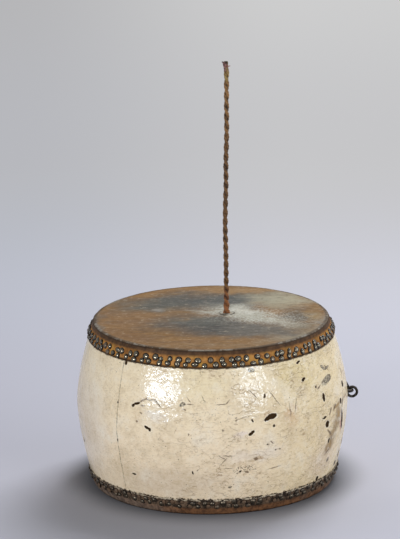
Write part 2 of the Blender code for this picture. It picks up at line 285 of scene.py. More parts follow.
# Marks on the lacquer: degrees round from the front, height, half length and half width in mm, and tilt
CHIPS = (
    (25.3, 167.0, 8.4, 4.3, 8),
    (23.7, 165.4, 7.4, 3.2, 34),
    (16.0, 143.6, 5.6, 2.5, 34),
    (26.0, 151.0, 2.2, 1.9, 20),
    (22.8, 201.1, 1.5, 3.0, -20),
    (16.6, 164.0, 1.5, 2.6, 24),
    (54.9, 174.6, 3.4, 6.4, 2),
    (43.8, 213.6, 4.4, 2.7, 20),
    (42.8, 242.2, 4.6, 1.9, 15),
    (56.3, 127.3, 5.0, 5.5, 6),
    (53.9, 140.6, 6.0, 1.5, 6),
    (58.9, 95.8, 2.8, 4.2, -14),
    (54.3, 32.7, 4.0, 4.2, -30),
    (75.5, 174.6, 4.4, 5.4, 40),
    (71.8, 117.9, 3.6, 17.0, 12),
    (69.9, 151.7, 3.6, 5.0, 20),
    (72.5, 40.0, 5.0, 4.0, 0),
    (76.5, 52.0, 4.0, 6.0, 0),
    (79.5, 70.0, 3.0, 6.0, 0),
    (-35.5, 182.8, 3.0, 2.4, 40),
    (-33.6, 187.0, 6.4, 1.7, 16),
    (-28.4, 150.6, 4.6, 2.0, -24),
    (-27.0, 147.6, 2.0, 2.8, 10),
    (-36.9, 63.8, 4.2, 1.3, -6),
    (-9.0, 77.9, 1.1, 3.2, 12),
    (11.2, 78.2, 2.0, 1.3, 0),
    (50.6, 195.6, 1.8, 1.6, 0),
    (23.0, 121.4, 1.8, 1.1, 10),
    (26.9, 109.3, 1.2, 1.3, 0),
    (-82.7, 98.8, 4.0, 6.0, 0),
    (-77.3, 83.1, 3.4, 4.0, 0),
    (-42.6, 246.4, 2.6, 3.6, 0),
    (-44.1, 182.3, 1.4, 1.8, 0),
    (-43.7, 118.6, 1.2, 2.6, 0),
    (118.0, 196.0, 5.0, 3.0, 30),
    (131.0, 96.0, 3.2, 5.4, -12),
    (158.0, 142.0, 8.0, 3.4, -24),
    (176.0, 62.0, 4.2, 2.2, 10),
    (-168.0, 208.0, 3.0, 4.6, 0),
    (-142.0, 118.0, 6.4, 3.0, 18),
    (-121.0, 176.0, 2.6, 2.2, 0),
    (-104.0, 58.0, 5.0, 2.4, -20),
)
# Lacquer that lifts without falling, grey and broken
BLISTERS = (
    (17.8, 243.6, 6.6, 3.4, -8),
    (59.2, 198.6, 17.0, 6.0, 14),
    (58.4, 220.4, 7.6, 2.6, -40),
    (61.8, 217.0, 8.6, 2.4, 10),
    (-12.8, 193.0, 6.0, 3.6, 24),
    (6.8, 51.1, 3.4, 2.2, 0),
    (60.6, 60.0, 4.6, 3.4, 30),
    (146.0, 214.0, 8.0, 4.6, 10),
    (-150.0, 60.0, 8.0, 5.0, -15),
)
# Brown scratches, cracks and spots
SCRATCHES = (
    (3.8, 193.4, 7.6, 0.7, 1),
    (6.4, 196.3, 4.2, 0.8, 45),
    (-9.5, 193.8, 5.3, 0.6, 2),
    (-3.8, 202.7, 5.0, 0.6, -62),
    (-11.8, 185.3, 2.4, 1.2, -8),
    (-10.4, 202.3, 6.1, 0.6, -53),
    (4.1, 151.6, 1.5, 1.7, 0),
    (-10.1, 145.1, 1.2, 1.4, 0),
    (9.8, 166.8, 1.8, 1.3, 20),
    (9.6, 171.0, 1.4, 0.9, 0),
    (18.0, 98.3, 3.0, 2.2, 10),
    (23.2, 121.2, 2.2, 1.1, 10),
    (25.0, 123.6, 3.2, 1.0, -40),
    (26.9, 109.3, 1.4, 1.6, 0),
    (28.8, 109.6, 1.6, 1.0, 0),
    (6.4, 85.4, 7.0, 0.5, -2),
    (26.9, 77.9, 9.0, 0.8, 7),
    (6.4, 107.6, 8.0, 0.5, -3),
    (3.6, 105.0, 6.0, 0.5, -34),
    (4.4, 98.4, 6.0, 0.5, 46),
    (17.9, 205.4, 8.6, 0.6, -47),
    (27.2, 196.0, 14.0, 0.6, -54),
    (34.3, 171.2, 10.0, 0.8, -86),
    (37.4, 177.1, 11.0, 0.6, 76),
    (12.6, 170.0, 12.0, 0.4, 10),
    (50.9, 195.5, 2.2, 1.8, 0),
    (52.8, 193.3, 4.9, 1.1, 31),
    (56.6, 200.6, 7.0, 1.3, 24),
    (62.0, 197.6, 7.0, 1.5, 18),
    (61.2, 217.4, 6.0, 1.6, -46),
    (77.2, 194.5, 2.0, 3.6, 0),
    (71.2, 143.0, 9.0, 2.2, 66),
    (73.0, 151.0, 8.0, 1.6, 60),
    (58.5, 110.9, 8.0, 1.9, -41),
    (60.8, 96.7, 10.0, 1.3, -80),
    (59.0, 77.2, 6.0, 1.3, 36),
    (58.9, 146.9, 5.5, 1.6, 54),
    (62.9, 150.0, 5.6, 1.8, 34),
    (-30.9, 184.9, 4.0, 1.1, 3),
    (-30.7, 194.1, 6.6, 1.0, 31),
    (-28.5, 196.3, 3.4, 1.1, -22),
    (-26.4, 196.4, 5.0, 0.8, 17),
    (-24.7, 194.9, 4.4, 0.9, -39),
    (-23.1, 189.5, 5.2, 0.9, -47),
    (-33.2, 158.1, 1.8, 1.5, 0),
    (-31.4, 172.8, 2.4, 1.0, -10),
    (-6.8, 83.0, 0.8, 1.9, -24),
    (14.2, 76.6, 3.0, 1.4, -8),
    (150.0, 170.0, 16.0, 0.8, 30),
    (163.0, 176.0, 12.0, 0.7, -25),
    (-112.0, 104.0, 14.0, 0.7, 12),
    (-128.0, 220.0, 9.0, 0.6, -40),
)
# Fawn dirt that has run down the lacquer below the ring
SMEARS = (
    (74.2, 151.8, 20.0, 2.4, 3),
    (65.6, 149.5, 13.0, 2.8, 9),
    (66.0, 126.6, 19.0, 11.0, 78),
    (62.5, 101.8, 18.0, 13.0, 65),
    (59.6, 84.8, 12.0, 10.0, 55),
)
# Where small specks crowd together
SPECK_CLUSTER = (12.6, 81.0, 20.0, 7.0, 4)
# Splits along stave joints: degrees round, lowest and highest height in mm, and how dark they are
SPLITS = (
    (-43.7, 28.0, 252.0, 0.66),
    (137.6, 40.0, 190.0, 0.5),
    (-155.0, 120.0, 250.0, 0.4),
)
# Stains, the broad ones first: the same measures, then colour and strength
BROAD_STAINS = (
    (41.0, 226.0, 50.0, 34.0, -8, (216, 192, 124), 0.60),
    (-4.0, 226.0, 60.0, 26.0, 0, (232, 215, 172), 0.50),
    (56.0, 66.0, 50.0, 34.0, 10, (210, 188, 164), 0.55),
    (-20.0, 58.0, 110.0, 34.0, 4, (204, 185, 160), 0.60),
    (-66.0, 130.0, 70.0, 90.0, 0, (214, 204, 190), 0.50),
    (18.0, 104.0, 60.0, 12.0, 3, (228, 216, 202), 0.50),
    (11.5, 140.0, 16.0, 7.0, 0, (228, 214, 208), 0.60),
    (-24.6, 171.0, 18.0, 14.0, 0, (232, 224, 210), 0.60),
)
SMALL_STAINS = (
    (35.0, 162.0, 17.0, 22.0, 0, (202, 164, 120), 0.60),
    (23.0, 172.0, 16.0, 5.0, 12, (200, 168, 128), 0.50),
    (12.0, 92.0, 30.0, 5.0, 4, (196, 168, 130), 0.45),
    (64.0, 120.0, 22.0, 46.0, -12, (186, 158, 112), 0.60),
    (70.4, 119.3, 7.0, 26.0, 10, (158, 80, 48), 0.90),
    (57.0, 78.0, 9.0, 14.0, -30, (160, 132, 98), 0.55),
    (-32.5, 168.0, 12.0, 16.0, 0, (204, 176, 134), 0.45),
    (19.6, 99.6, 10.0, 4.0, 4, (176, 146, 104), 0.60),
)


def ivory_lacquer():
    """Yellowed ivory lacquer with wrinkles, specks, stains, dark chips with painted highlights on their
    rims, blisters and splits, and a painted shadow line under the top hide's edge.
    """
    finish = Finish("wrinkled_ivory_lacquer")
    unrolled = finish.node("ShaderNodeUVMap", {"uv_map": "unrolled"})
    around = finish.along(unrolled, 0)
    up = finish.along(unrolled, 1)
    shaken = finish.shaken(unrolled, 230.0, (0.0042, 0.0038, 0.0))
    wavering = finish.shaken(unrolled, 110.0, (0.016, 0.016, 0.0))
    drifting = finish.shaken(unrolled, 38.0, (0.050, 0.044, 0.0))
    patches = finish.cloud(21.0, 6.0, 0.62)
    mottle = finish.cloud(76.0, 5.0, 0.66)
    grain = finish.cloud(240.0, 4.0, 0.7, finish.place((1.0, 1.0, 1.6)))
    breaks = finish.cloud(64.0, 3.0, 0.6)
    ragged = finish.cloud(190.0, 5.0, 0.75) - 0.5

    def oval(point, degrees, height, half_length, half_width, tilt):
        right = math.radians(degrees) * BELLY_RADIUS
        return finish.oval(point, right, height / 1000, half_length / 1000, half_width / 1000, tilt)

    def deepest(marks):
        """How far a point is inside the ovals of a list: a half at a rim."""
        most = None
        for mark in marks:
            share = oval(shaken, *mark)
            most = share if most is None else most.or_more(share)
        return most

    ivory = finish.tint(finish.rise(up, 0.06, 0.24), screen(236, 216, 184), screen(237, 219, 184))
    before_back = finish.fall(around, 0.46, 0.64)
    ivory = finish.tint(finish.rise(around, 0.02, 0.20) * before_back * 0.6, ivory, screen(226, 204, 152))
    for *mark, hue, strength in BROAD_STAINS:
        inside = finish.rise(oval(drifting, *mark), 0.36, 0.84, 0.0, strength)
        ivory = finish.tint(inside, ivory, screen(*hue))
    broken = finish.rise(breaks, 0.38, 0.56, 0.35, 1.0)
    for *mark, hue, strength in SMALL_STAINS:
        inside = finish.rise(oval(wavering, *mark), 0.44, 0.70, 0.0, strength)
        ivory = finish.tint(inside * broken, ivory, screen(*hue))
    ivory = finish.tint(finish.rise(patches, 0.48, 0.66) * 0.40, ivory, screen(200, 179, 144))
    ivory = finish.tint(finish.fall(patches, 0.32, 0.49) * 0.40, ivory, screen(236, 228, 210))
    ivory = finish.tint(finish.rise(mottle, 0.52, 0.68) * 0.30, ivory, screen(190, 164, 124))
    ivory = finish.tint(finish.fall(mottle, 0.34, 0.48) * 0.22, ivory, screen(240, 231, 212))
    ivory = finish.tint(finish.rise(grain, 0.54, 0.68) * 0.34, ivory, screen(178, 152, 114))
    ivory = finish.tint(finish.fall(grain, 0.36, 0.48) * 0.20, ivory, screen(250, 242, 226))

    long_folds = abs(finish.cloud(24.0, 2.0, 0.5, finish.place((1.0, 1.0, 2.8))) - 0.5)
    short_folds = abs(finish.cloud(58.0, 2.0, 0.5, finish.place((1.0, 1.0, 2.3))) - 0.5)
    creased = finish.rise(around, -0.14, 0.0) * before_back * 0.7 + 0.3
    wrinkles = finish.fall(long_folds, 0.0, 0.010) * finish.rise(breaks, 0.44, 0.56)
    short_wrinkles = finish.fall(short_folds, 0.0, 0.022) * finish.rise(finish.cloud(27.0, 3.0), 0.42, 0.56)
    wrinkles = wrinkles.or_more(short_wrinkles) * creased * finish.rise(patches, 0.40, 0.54, 0.45, 1.0)
    scratches = finish.rise(deepest(SCRATCHES), 0.15, 0.65) * finish.rise(breaks, 0.30, 0.46, 0.45, 1.0)

    large_specks = finish.fall(finish.specks(46.0, shaken) + ragged * 0.09, 0.020, 0.044)
    large_specks = large_specks * finish.rise(finish.cloud(14.0, 3.0), 0.42, 0.52)
    fine_specks = finish.fall(finish.specks(150.0, shaken) + ragged * 0.2, 0.04, 0.11)
    fine_specks = fine_specks * finish.rise(finish.cloud(17.0, 3.0), 0.44, 0.62)
    cluster = finish.rise(oval(drifting, *SPECK_CLUSTER), 0.40, 0.75)
    cluster = cluster * finish.fall(finish.specks(330.0, shaken), 0.24, 0.40)
    specks = (large_specks * 0.85).or_more(fine_specks * 0.5).or_more(cluster * 0.9)

    chip_depth = deepest(CHIPS)
    chip = finish.rise(chip_depth, 0.41, 0.48)
    chip_rim_highlight = finish.rise(chip_depth, 0.26, 0.38) * (1.0 - chip)
    blister_depth = deepest(BLISTERS)
    blister = finish.rise(blister_depth, 0.50, 0.62)
    blister_line = finish.fall(abs(blister_depth - 0.55), 0.015, 0.085) * finish.rise(breaks, 0.36, 0.50)
    broken_blister = blister * finish.rise(finish.cloud(330.0, 3.0), 0.42, 0.56)

    split = None
    for degrees, low, high, dark in SPLITS:
        sway = (finish.cloud(22.0, 4.0) - 0.5) * 0.006
        gap = abs(around - math.radians(degrees) * BELLY_RADIUS - sway)
        above = finish.rise(up, low / 1000 - 0.003, low / 1000)
        below = finish.fall(up, high / 1000, high / 1000 + 0.003)
        broken = finish.rise(finish.cloud(120.0, 3.0, 0.7), 0.40, 0.60, 0.25, 1.0)
        line = finish.fall(gap, 0.0003, 0.0013) * above * below * broken * dark
        split = line if split is None else split.or_more(line)

    low_grime = finish.fall(up + ragged * 0.018, 0.0282, 0.0300)
    # Painted shadow: a thin dark line of bare ground just under the top hide's edge.
    high_edge_shadow = finish.rise(up + ragged * 0.008, drum_height - 0.0302, drum_height - 0.0286)

    color = finish.tint(wrinkles * 0.62, ivory, screen(146, 110, 66))
    color = finish.tint(scratches * 0.80, color, screen(98, 74, 46))
    # Painted highlight: a pale rim round each chip, where the lifted lacquer edge would catch the light.
    color = finish.tint(chip_rim_highlight * 0.45, color, screen(244, 234, 212))
    color = finish.tint(blister * 0.6, color, screen(168, 160, 140))
    color = finish.tint(broken_blister.or_more(blister_line) * 0.9, color, screen(82, 70, 52))
    peel = finish.cloud(150.0, 2.0, 0.5) * finish.rise(creased, 0.3, 1.0, 0.45, 1.0)
    waves = finish.cloud(46.0, 2.0, 0.5) * finish.rise(creased, 0.3, 1.0, 0.9, 1.6)
    finish.relief(peel + waves + mottle * 0.35 + wrinkles * 0.5 + scratches * 0.3, 0.0009)
    bare = chip.or_more(split).or_more(specks * 0.8).or_more(low_grime).or_more(high_edge_shadow * 0.8)
    soiled = finish.rise(deepest(SMEARS), 0.22, 0.80) * finish.rise(mottle, 0.38, 0.58, 0.20, 0.90)
    earth = finish.tint(mottle, screen(26, 17, 8), screen(70, 50, 28))
    fawn = finish.tint(mottle, screen(116, 90, 56), screen(190, 160, 114))
    finish.bared(bare.or_more(soiled), finish.tint(soiled * (1.0 - bare), earth, fawn))
    return finish.made({
        "Base Color": color,
        "Roughness": finish.rise(mottle, 0.36, 0.64, 0.11, 0.20),
        "Specular Tint": (0.74, 0.87, 1.0),
    })


low_edge = SKIRT_DEPTH - LACQUER_TUCK
high_edge = drum_height - SKIRT_DEPTH + LACQUER_TUCK
outer_heights = [float(height) for height in np.linspace(high_edge, low_edge, OUTER_LEVELS + 1)]
inner_heights = [float(height) for height in np.linspace(low_edge, high_edge, INNER_LEVELS + 1)]
outer = [(wood_radius(height) + LACQUER_OUTSIDE, height) for height in outer_heights]
inner = [(wood_radius(height) + LACQUER_INSIDE, height) for height in inner_heights]
coat = turned_shape(outer + inner + outer[:1], LACQUER_FACETS)
bmesh.ops.remove_doubles(coat, verts=coat.verts, dist=LACQUER_INSIDE / 10)
points = np.array([vert.co for vert in coat.verts])
around_mm = np.arctan2(points[:, 0], -points[:, 1]) * BELLY_RADIUS * 1000
depth_share = np.zeros(len(points))
for degrees, height, half_length, half_width, tilt in CHIPS:
    across = around_mm - math.radians(degrees) * BELLY_RADIUS * 1000
    over = points[:, 2] * 1000 - height
    turn = math.radians(tilt)
    along = (across * math.cos(turn) + over * math.sin(turn)) / half_length
    beside = (over * math.cos(turn) - across * math.sin(turn)) / half_width
    depth_share = np.maximum(depth_share, np.clip(2.0 * (1.1 - np.hypot(along, beside)), 0.0, 1.0))
for vert, share in zip(coat.verts, depth_share):
    radius = math.hypot(vert.co.x, vert.co.y)
    if radius > wood_radius(vert.co.z) + (LACQUER_INSIDE + LACQUER_OUTSIDE) / 2:
        wave = BROAD_WAVE * (0.5 + 0.5 * noise.noise(vert.co * 14.0))
        wave += PEEL_WAVE * noise.noise(vert.co * 160.0)
        outward = Vector((vert.co.x, vert.co.y, 0.0)) / radius
        vert.co += outward * (wave - CHIP_DEPTH * float(share))
lacquer = finished("lacquer_coat", coat, ivory_lacquer())
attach(lacquer, "drum")


def stave_wood():
    """Old brown wood with its grain running up the stave."""
    finish = Finish("aged_stave_wood")
    grain = finish.cloud(90.0, 5.0, 0.6, finish.place((1.0, 1.0, 0.06)))
    finish.relief(grain, 0.0004, 0.6)
    color = finish.tint(finish.rise(grain, 0.36, 0.64), screen(92, 62, 40), screen(142, 106, 70))
    return finish.made({"Base Color": color, "Roughness": 0.72})


def dress(node, material):
    """Give a solid that stays in the scene its finished material."""
    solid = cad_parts[node]
    solid.data.materials.clear()
    solid.data.materials.append(material)


wood = stave_wood()
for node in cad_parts:
    if node.startswith("stave_"):
        dress(node, wood)


# The top hide: ox hide drawn wet over the barrel's end and nailed down its side.
# It is brown and grey with wear, chalky to the right of the cord, and orange-brown down its nailed skirt.
# Its ridge is dark with handling, with pale grey scuffs and painted sheen along it. The disc under it shows
# as a raised round about the cord's hole.
HIDE_THICKNESS = 0.0015
HIDE_STAND_OFF = 0.0007
RIDGE_ROUND = 0.003
FACE_RINGS = 120
SKIRT_RINGS = 16
HIDE_FACETS = 320
HIDE_WAVE = 0.0005
HIDE_EDGE_WAVE = 0.0009
CORD_RIGHT = 0.0265
CORD_BACK = 0.0212
DISC_RADIUS = 0.0125
DISC_LIFT = 0.0006


def skirt_radius(height):
    """Outer radius of a hide's straight, nailed part at a height."""
    top = height > middle_height
    end = drum_height - WOOD_END_INSET if top else WOOD_END_INSET
    edge = drum_height - SKIRT_DEPTH if top else SKIRT_DEPTH
    share = (height - end) / (edge - end)
    wood = wood_radius(end) + (wood_radius(edge) - wood_radius(end)) * share
    return wood + HIDE_STAND_OFF + HIDE_THICKNESS


def hide_shape(face_height, inward):
    """A hide over one end of the barrel: its face, rounded ridge and skirt, and its inner side."""
    corner = skirt_radius(face_height)
    outer = [((corner - RIDGE_ROUND) * step / FACE_RINGS, 0.0) for step in range(FACE_RINGS)]
    for degrees in range(90, 0, -15):
        turn = math.radians(degrees)
        radius = corner - RIDGE_ROUND * (1 - math.cos(turn))
        outer.append((radius, RIDGE_ROUND * (1 - math.sin(turn))))
    for step in range(SKIRT_RINGS + 1):
        depth = RIDGE_ROUND + (SKIRT_DEPTH - RIDGE_ROUND) * step / SKIRT_RINGS
        outer.append((skirt_radius(face_height + inward * depth), depth))
    inner = [
        (outer[-1][0] - HIDE_THICKNESS, SKIRT_DEPTH),
        (skirt_radius(face_height + inward * HIDE_THICKNESS) - HIDE_THICKNESS, HIDE_THICKNESS),
        (0.0, HIDE_THICKNESS),
    ]
    profile = [(radius, face_height + inward * depth) for radius, depth in outer + inner]
    shape = turned_shape(profile, HIDE_FACETS)
    edge_height = face_height + inward * SKIRT_DEPTH
    for vert in shape.verts:
        depth = abs(vert.co.z - face_height)
        outward = Vector((vert.co.x, vert.co.y, 0.0))
        edge_share = max(0.0, 1.0 - abs(vert.co.z - edge_height) / (SKIRT_DEPTH / 2))
        if outward.length > corner / 2:
            round_place = outward.normalized()
            wave = noise.noise(round_place * 9.0) + 0.5 * noise.noise(round_place * 31.0)
            vert.co += round_place * HIDE_WAVE * wave * (1.0 - edge_share)
            vert.co.z += inward * HIDE_EDGE_WAVE * wave * edge_share
        if depth < HIDE_THICKNESS / 2 and inward < 0:
            vert.co.z -= HIDE_WAVE * (0.5 + 0.5 * noise.noise(vert.co * 17.0))
    return shape


# Stains: mm right and back of the centre, half width, half depth, turn in degrees, colour and strength
STAINS = (
    (-150, 20, 50, 110, 0, (130, 100, 70), 0.50),
    (-80, 78, 78, 46, 6, (89, 88, 80), 0.95),
    (8, 100, 108, 54, 0, (82, 83, 80), 1.00),
    (10, -62, 98, 52, -14, (80, 78, 74), 1.00),
    (-20, -14, 60, 30, 0, (86, 90, 86), 0.80),
    (80, -92, 66, 28, -10, (100, 97, 90), 0.85),
    (10, 172, 110, 15, 0, (138, 106, 70), 0.75),
    (60, 160, 46, 18, -12, (150, 120, 82), 0.75),
    (112, 96, 58, 34, -18, (170, 165, 142), 0.75),
    (44, 62, 34, 16, 20, (138, 138, 128), 0.60),
    (72, 8, 78, 32, -40, (168, 167, 152), 0.80),
    (52, 34, 30, 16, -10, (194, 190, 176), 0.80),
    (116, -46, 26, 16, -40, (170, 164, 148), 0.60),
    (-8, 33, 34, 7, 0, (168, 166, 153), 0.85),
    (-98, 45, 18, 6, 0, (150, 146, 138), 0.60),
    (148, -2, 24, 44, 8, (86, 82, 72), 0.80),
    (174, 4, 12, 32, 6, (146, 124, 86), 0.65),
    (134, -112, 60, 18, 40, (142, 132, 112), 0.80),
    (140, -58, 26, 20, 20, (122, 112, 92), 0.70),
    (184, -40, 10, 46, -14, (134, 130, 121), 0.70),
    (-184, -30, 12, 50, 8, (104, 96, 87), 0.70),
    (-128, -118, 62, 16, -42, (128, 96, 64), 0.65),
    (-52, -150, 50, 16, 12, (140, 106, 68), 0.65),
    (10, -168, 90, 14, 0, (136, 110, 78), 0.65),
)
DUSTY = (76, 4, 92, 56, -26)


def stained_hide():
    """The face's stains and fine grain, the dark ridge with pale scuffs and painted sheen, and the skirt's
    dark and orange belts.
    """
    finish = Finish("stained_top_hide")
    flat = finish.place((1.0, 1.0, 0.0))
    up = finish.along(finish.place(), 2)
    cloud = finish.cloud(12.0, 6.0, 0.62)
    fine = finish.cloud(120.0, 6.0, 0.68)
    streak = finish.cloud(38.0, 6.0, 0.68, finish.place((0.45, 2.4, 1.0)))
    fibre = finish.cloud(210.0, 5.0, 0.7, finish.place((0.22, 2.2, 1.0)))
    drifting = finish.shaken(finish.shaken(flat, 10.0, (0.11, 0.10, 0.0)), 46.0, (0.050, 0.034, 0.0))
    radius = finish.node("ShaderNodeVectorMath", {"operation": "LENGTH"}, {0: flat}, 1)

    color = finish.tint(finish.rise(streak, 0.36, 0.64), screen(110, 80, 48), screen(144, 109, 66))
    color = finish.tint(finish.rise(cloud, 0.50, 0.66) * 0.4, color, screen(142, 106, 70))
    for right, back, half_width, half_depth, turn, stain, strength in STAINS:
        inside = finish.oval(drifting, right / 1000, back / 1000, half_width / 1000, half_depth / 1000, turn)
        color = finish.tint(finish.rise(inside, 0.18, 0.88, 0.0, strength), color, screen(*stain))
    color = finish.tint(finish.rise(fibre, 0.52, 0.70) * 0.55, color, screen(76, 62, 48))
    color = finish.tint(finish.fall(fibre, 0.32, 0.47) * 0.36, color, screen(184, 174, 152))
    color = finish.tint(finish.rise(fine, 0.55, 0.72) * 0.45, color, screen(84, 68, 52))
    color = finish.tint(finish.fall(fine, 0.30, 0.44) * 0.40, color, screen(184, 168, 142))
    right, back, half_width, half_depth, turn = DUSTY
    dusty = finish.oval(drifting, right / 1000, back / 1000, half_width / 1000, half_depth / 1000, turn)
    dust = finish.rise(finish.cloud(260.0, 4.0, 0.7), 0.43, 0.63) * finish.rise(dusty, 0.25, 0.80)
    color = finish.tint(dust * 0.48, color, screen(222, 224, 214))

    on_disc = finish.oval(flat, CORD_RIGHT, CORD_BACK, DISC_RADIUS, DISC_RADIUS, 0)
    rim = finish.fall(abs(on_disc - 0.5), 0.02, 0.09) * finish.rise(fine, 0.36, 0.56)
    color = finish.tint(finish.rise(on_disc, 0.50, 0.70) * 0.4, color, screen(160, 156, 140))
    color = finish.tint(rim * 0.8, color, screen(64, 58, 46))
    # Painted shade in the cord's hole: a dark round close about the cord's foot.
    color = finish.tint(finish.rise(on_disc, 0.74, 0.84) * 0.85, color, screen(54, 42, 32))

    depth = drum_height - up
    corner = skirt_radius(drum_height)
    worn = finish.rise(cloud + (fine - 0.5) * 0.9, 0.46, 0.58)
    ridge = finish.rise(radius + (streak - 0.5) * 0.006, corner - 0.0075, corner - 0.0030)
    # The ridge's pale grey is partly wear and partly painted sheen along the rounded edge.
    scuffs_and_sheen = finish.tint(worn * 0.7, screen(72, 58, 44), screen(150, 146, 136))
    color = finish.tint(ridge * 0.85, color, scuffs_and_sheen)
    orange = finish.tint(finish.rise(fine, 0.34, 0.66), screen(144, 94, 46), screen(192, 138, 76))
    orange = finish.tint(finish.rise(streak, 0.52, 0.64) * 0.8, orange, screen(178, 138, 66))
    orange = finish.tint(finish.rise(cloud, 0.44, 0.60) * 0.55, orange, screen(96, 64, 36))
    umber = finish.tint(finish.rise(fine, 0.34, 0.68), screen(64, 47, 34), screen(98, 72, 50))
    belt = finish.tint(finish.rise(depth + (cloud - 0.5) * 0.008, 0.0062, 0.0120), umber, orange)
    low_edge = finish.rise(depth + (fine - 0.5) * 0.004, 0.0238, 0.0268)
    belt = finish.tint(low_edge * 0.90, belt, screen(38, 29, 20))
    color = finish.tint(finish.rise(depth, 0.0012, 0.0024), color, belt)
    crest = finish.rise(depth, 0.0009, 0.0016) * finish.fall(depth, 0.0022, 0.0040)
    color = finish.tint(crest * 0.6, color, screen(46, 38, 32))
    finish.relief(fine * 0.5 + fibre * 0.6 + streak * 0.5 + cloud * 0.5, 0.0008, 0.7)
    rough = finish.rise(fine + streak - 0.5, 0.3, 0.7, 0.46, 0.64)
    return finish.made({"Base Color": color, "Roughness": rough, "Specular IOR Level": 0.07})


top = hide_shape(drum_height, -1)
for vert in top.verts:
    from_cord = Vector((vert.co.x - CORD_RIGHT, vert.co.y - CORD_BACK)).length
    if vert.co.z > drum_height - HIDE_THICKNESS / 2:
        vert.co.z += DISC_LIFT * max(0.0, min(1.0, (DISC_RADIUS + 0.0015 - from_cord) / 0.003))
top_hide = finished("top_hide", top, stained_hide())
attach(top_hide, "drum")
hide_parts("top_head")


# The bottom hide: nailed over the barrel's lower end in the same way. The drum stands on it,
# and its skirt is black round the tacks. Below them it is rust-brown at the front, and greyer to the sides.
def dark_hide():
    """Blackened hide with a worn brown strip near the floor, and painted shadow along its lowest edge where
    it meets the floor.
    """
    finish = Finish("dark_bottom_hide")
    place = finish.place()
    side = finish.along(place, 0)
    up = finish.along(place, 2)
    fine = finish.cloud(130.0, 6.0, 0.7)
    cloud = finish.cloud(24.0, 5.0, 0.6)
    black = finish.tint(finish.rise(fine, 0.40, 0.62), screen(38, 30, 23), screen(106, 86, 68))
    rust = finish.tint(finish.rise(fine, 0.34, 0.66), screen(74, 50, 33), screen(122, 84, 55))
    grey = finish.tint(finish.rise(fine, 0.34, 0.66), screen(70, 57, 49), screen(122, 104, 90))
    aside = finish.rise(abs(side - 0.04) + (cloud - 0.5) * 0.2, 0.08, 0.18)
    brown = finish.tint(aside, rust, grey)
    color = finish.tint(finish.rise(up + (cloud - 0.5) * 0.006, 0.0105, 0.0145), brown, black)
    # Painted shadow: the lowest few millimetres darken where the hide meets the floor.
    color = finish.tint(finish.fall(up, 0.0010, 0.0030) * 0.9, color, screen(30, 22, 16))
    chalk = finish.rise(up + (fine - 0.5) * 0.006, 0.0252, 0.0268) * finish.rise(fine, 0.44, 0.58)
    color = finish.tint(chalk * (0.85 - aside * 0.35), color, screen(198, 186, 162))
    finish.relief(fine + cloud * 0.5, 0.0010, 0.8)
    return finish.made({"Base Color": color, "Roughness": 0.7, "Specular IOR Level": 0.2})


bottom_hide = finished("bottom_hide", hide_shape(0.0, 1), dark_hide())
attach(bottom_hide, "drum")
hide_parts("bottom_head")


# The tacks: domed heads of forged iron, two staggered rows of eighty on each hide.
# The upper ones are rubbed bright enough to glint, and the lower ones are dull with rust.
TACKS_IN_ROW = 80
TOP_TACK_RADIUS = 0.0050
BOTTOM_TACK_RADIUS = 0.0043
TACK_HEIGHT_SHARE = 0.62
# The black rims under the heads are grime and painted shadow round each head.
GRIME_SHADE_RIM_SPREAD = 1.12
GRIME_SHADE_RIM_HEIGHT_SHARE = 0.30
TOP_ROW_DEPTHS = (0.0152, 0.0226)
BOTTOM_ROW_HEIGHTS = (0.0218, 0.0160)
TACK_SIDE_WANDER = 0.019
TACK_HEIGHT_WANDER = 0.0013


def tack_iron(name, dark, worn, worn_from, rust_share, smooth):
    """Iron that is black at the rim with grime and painted shadow, and worn on the crown, with some heads
    rusted.
    """
    finish = Finish(name)
    crown = finish.node("ShaderNodeAttribute", {"attribute_name": "crown"}, {}, 2)
    tone = finish.node("ShaderNodeAttribute", {"attribute_name": "tone"}, {}, 2)
    grit = finish.cloud(420.0, 4.0, 0.6)
    bare = finish.rise(crown + (grit - 0.5) * 0.5, worn_from, worn_from + 0.38)
    rust = finish.rise(tone + (grit - 0.5) * 0.5, 1.0 - rust_share, 1.15 - rust_share)
    color = finish.tint(bare, dark, worn)
    color = finish.tint(rust * 0.8, color, finish.tint(grit, screen(58, 40, 28), screen(112, 82, 54)))
    finish.relief(grit, 0.0004, 0.6)
    # Black dull ground on the rim and the low part of each dome: grime and painted shadow round the head.
    finish.bared(finish.fall(crown, 0.05, 0.35), screen(24, 17, 10))
    return finish.made({
        "Base Color": color,
        "Metallic": bare * finish.rise(rust, 0.0, 1.0, 0.95, 0.15),
        "Roughness": finish.rise(rust + grit * 0.5 - bare * 0.4, -0.2, 0.8, smooth, smooth + 0.4),
    })


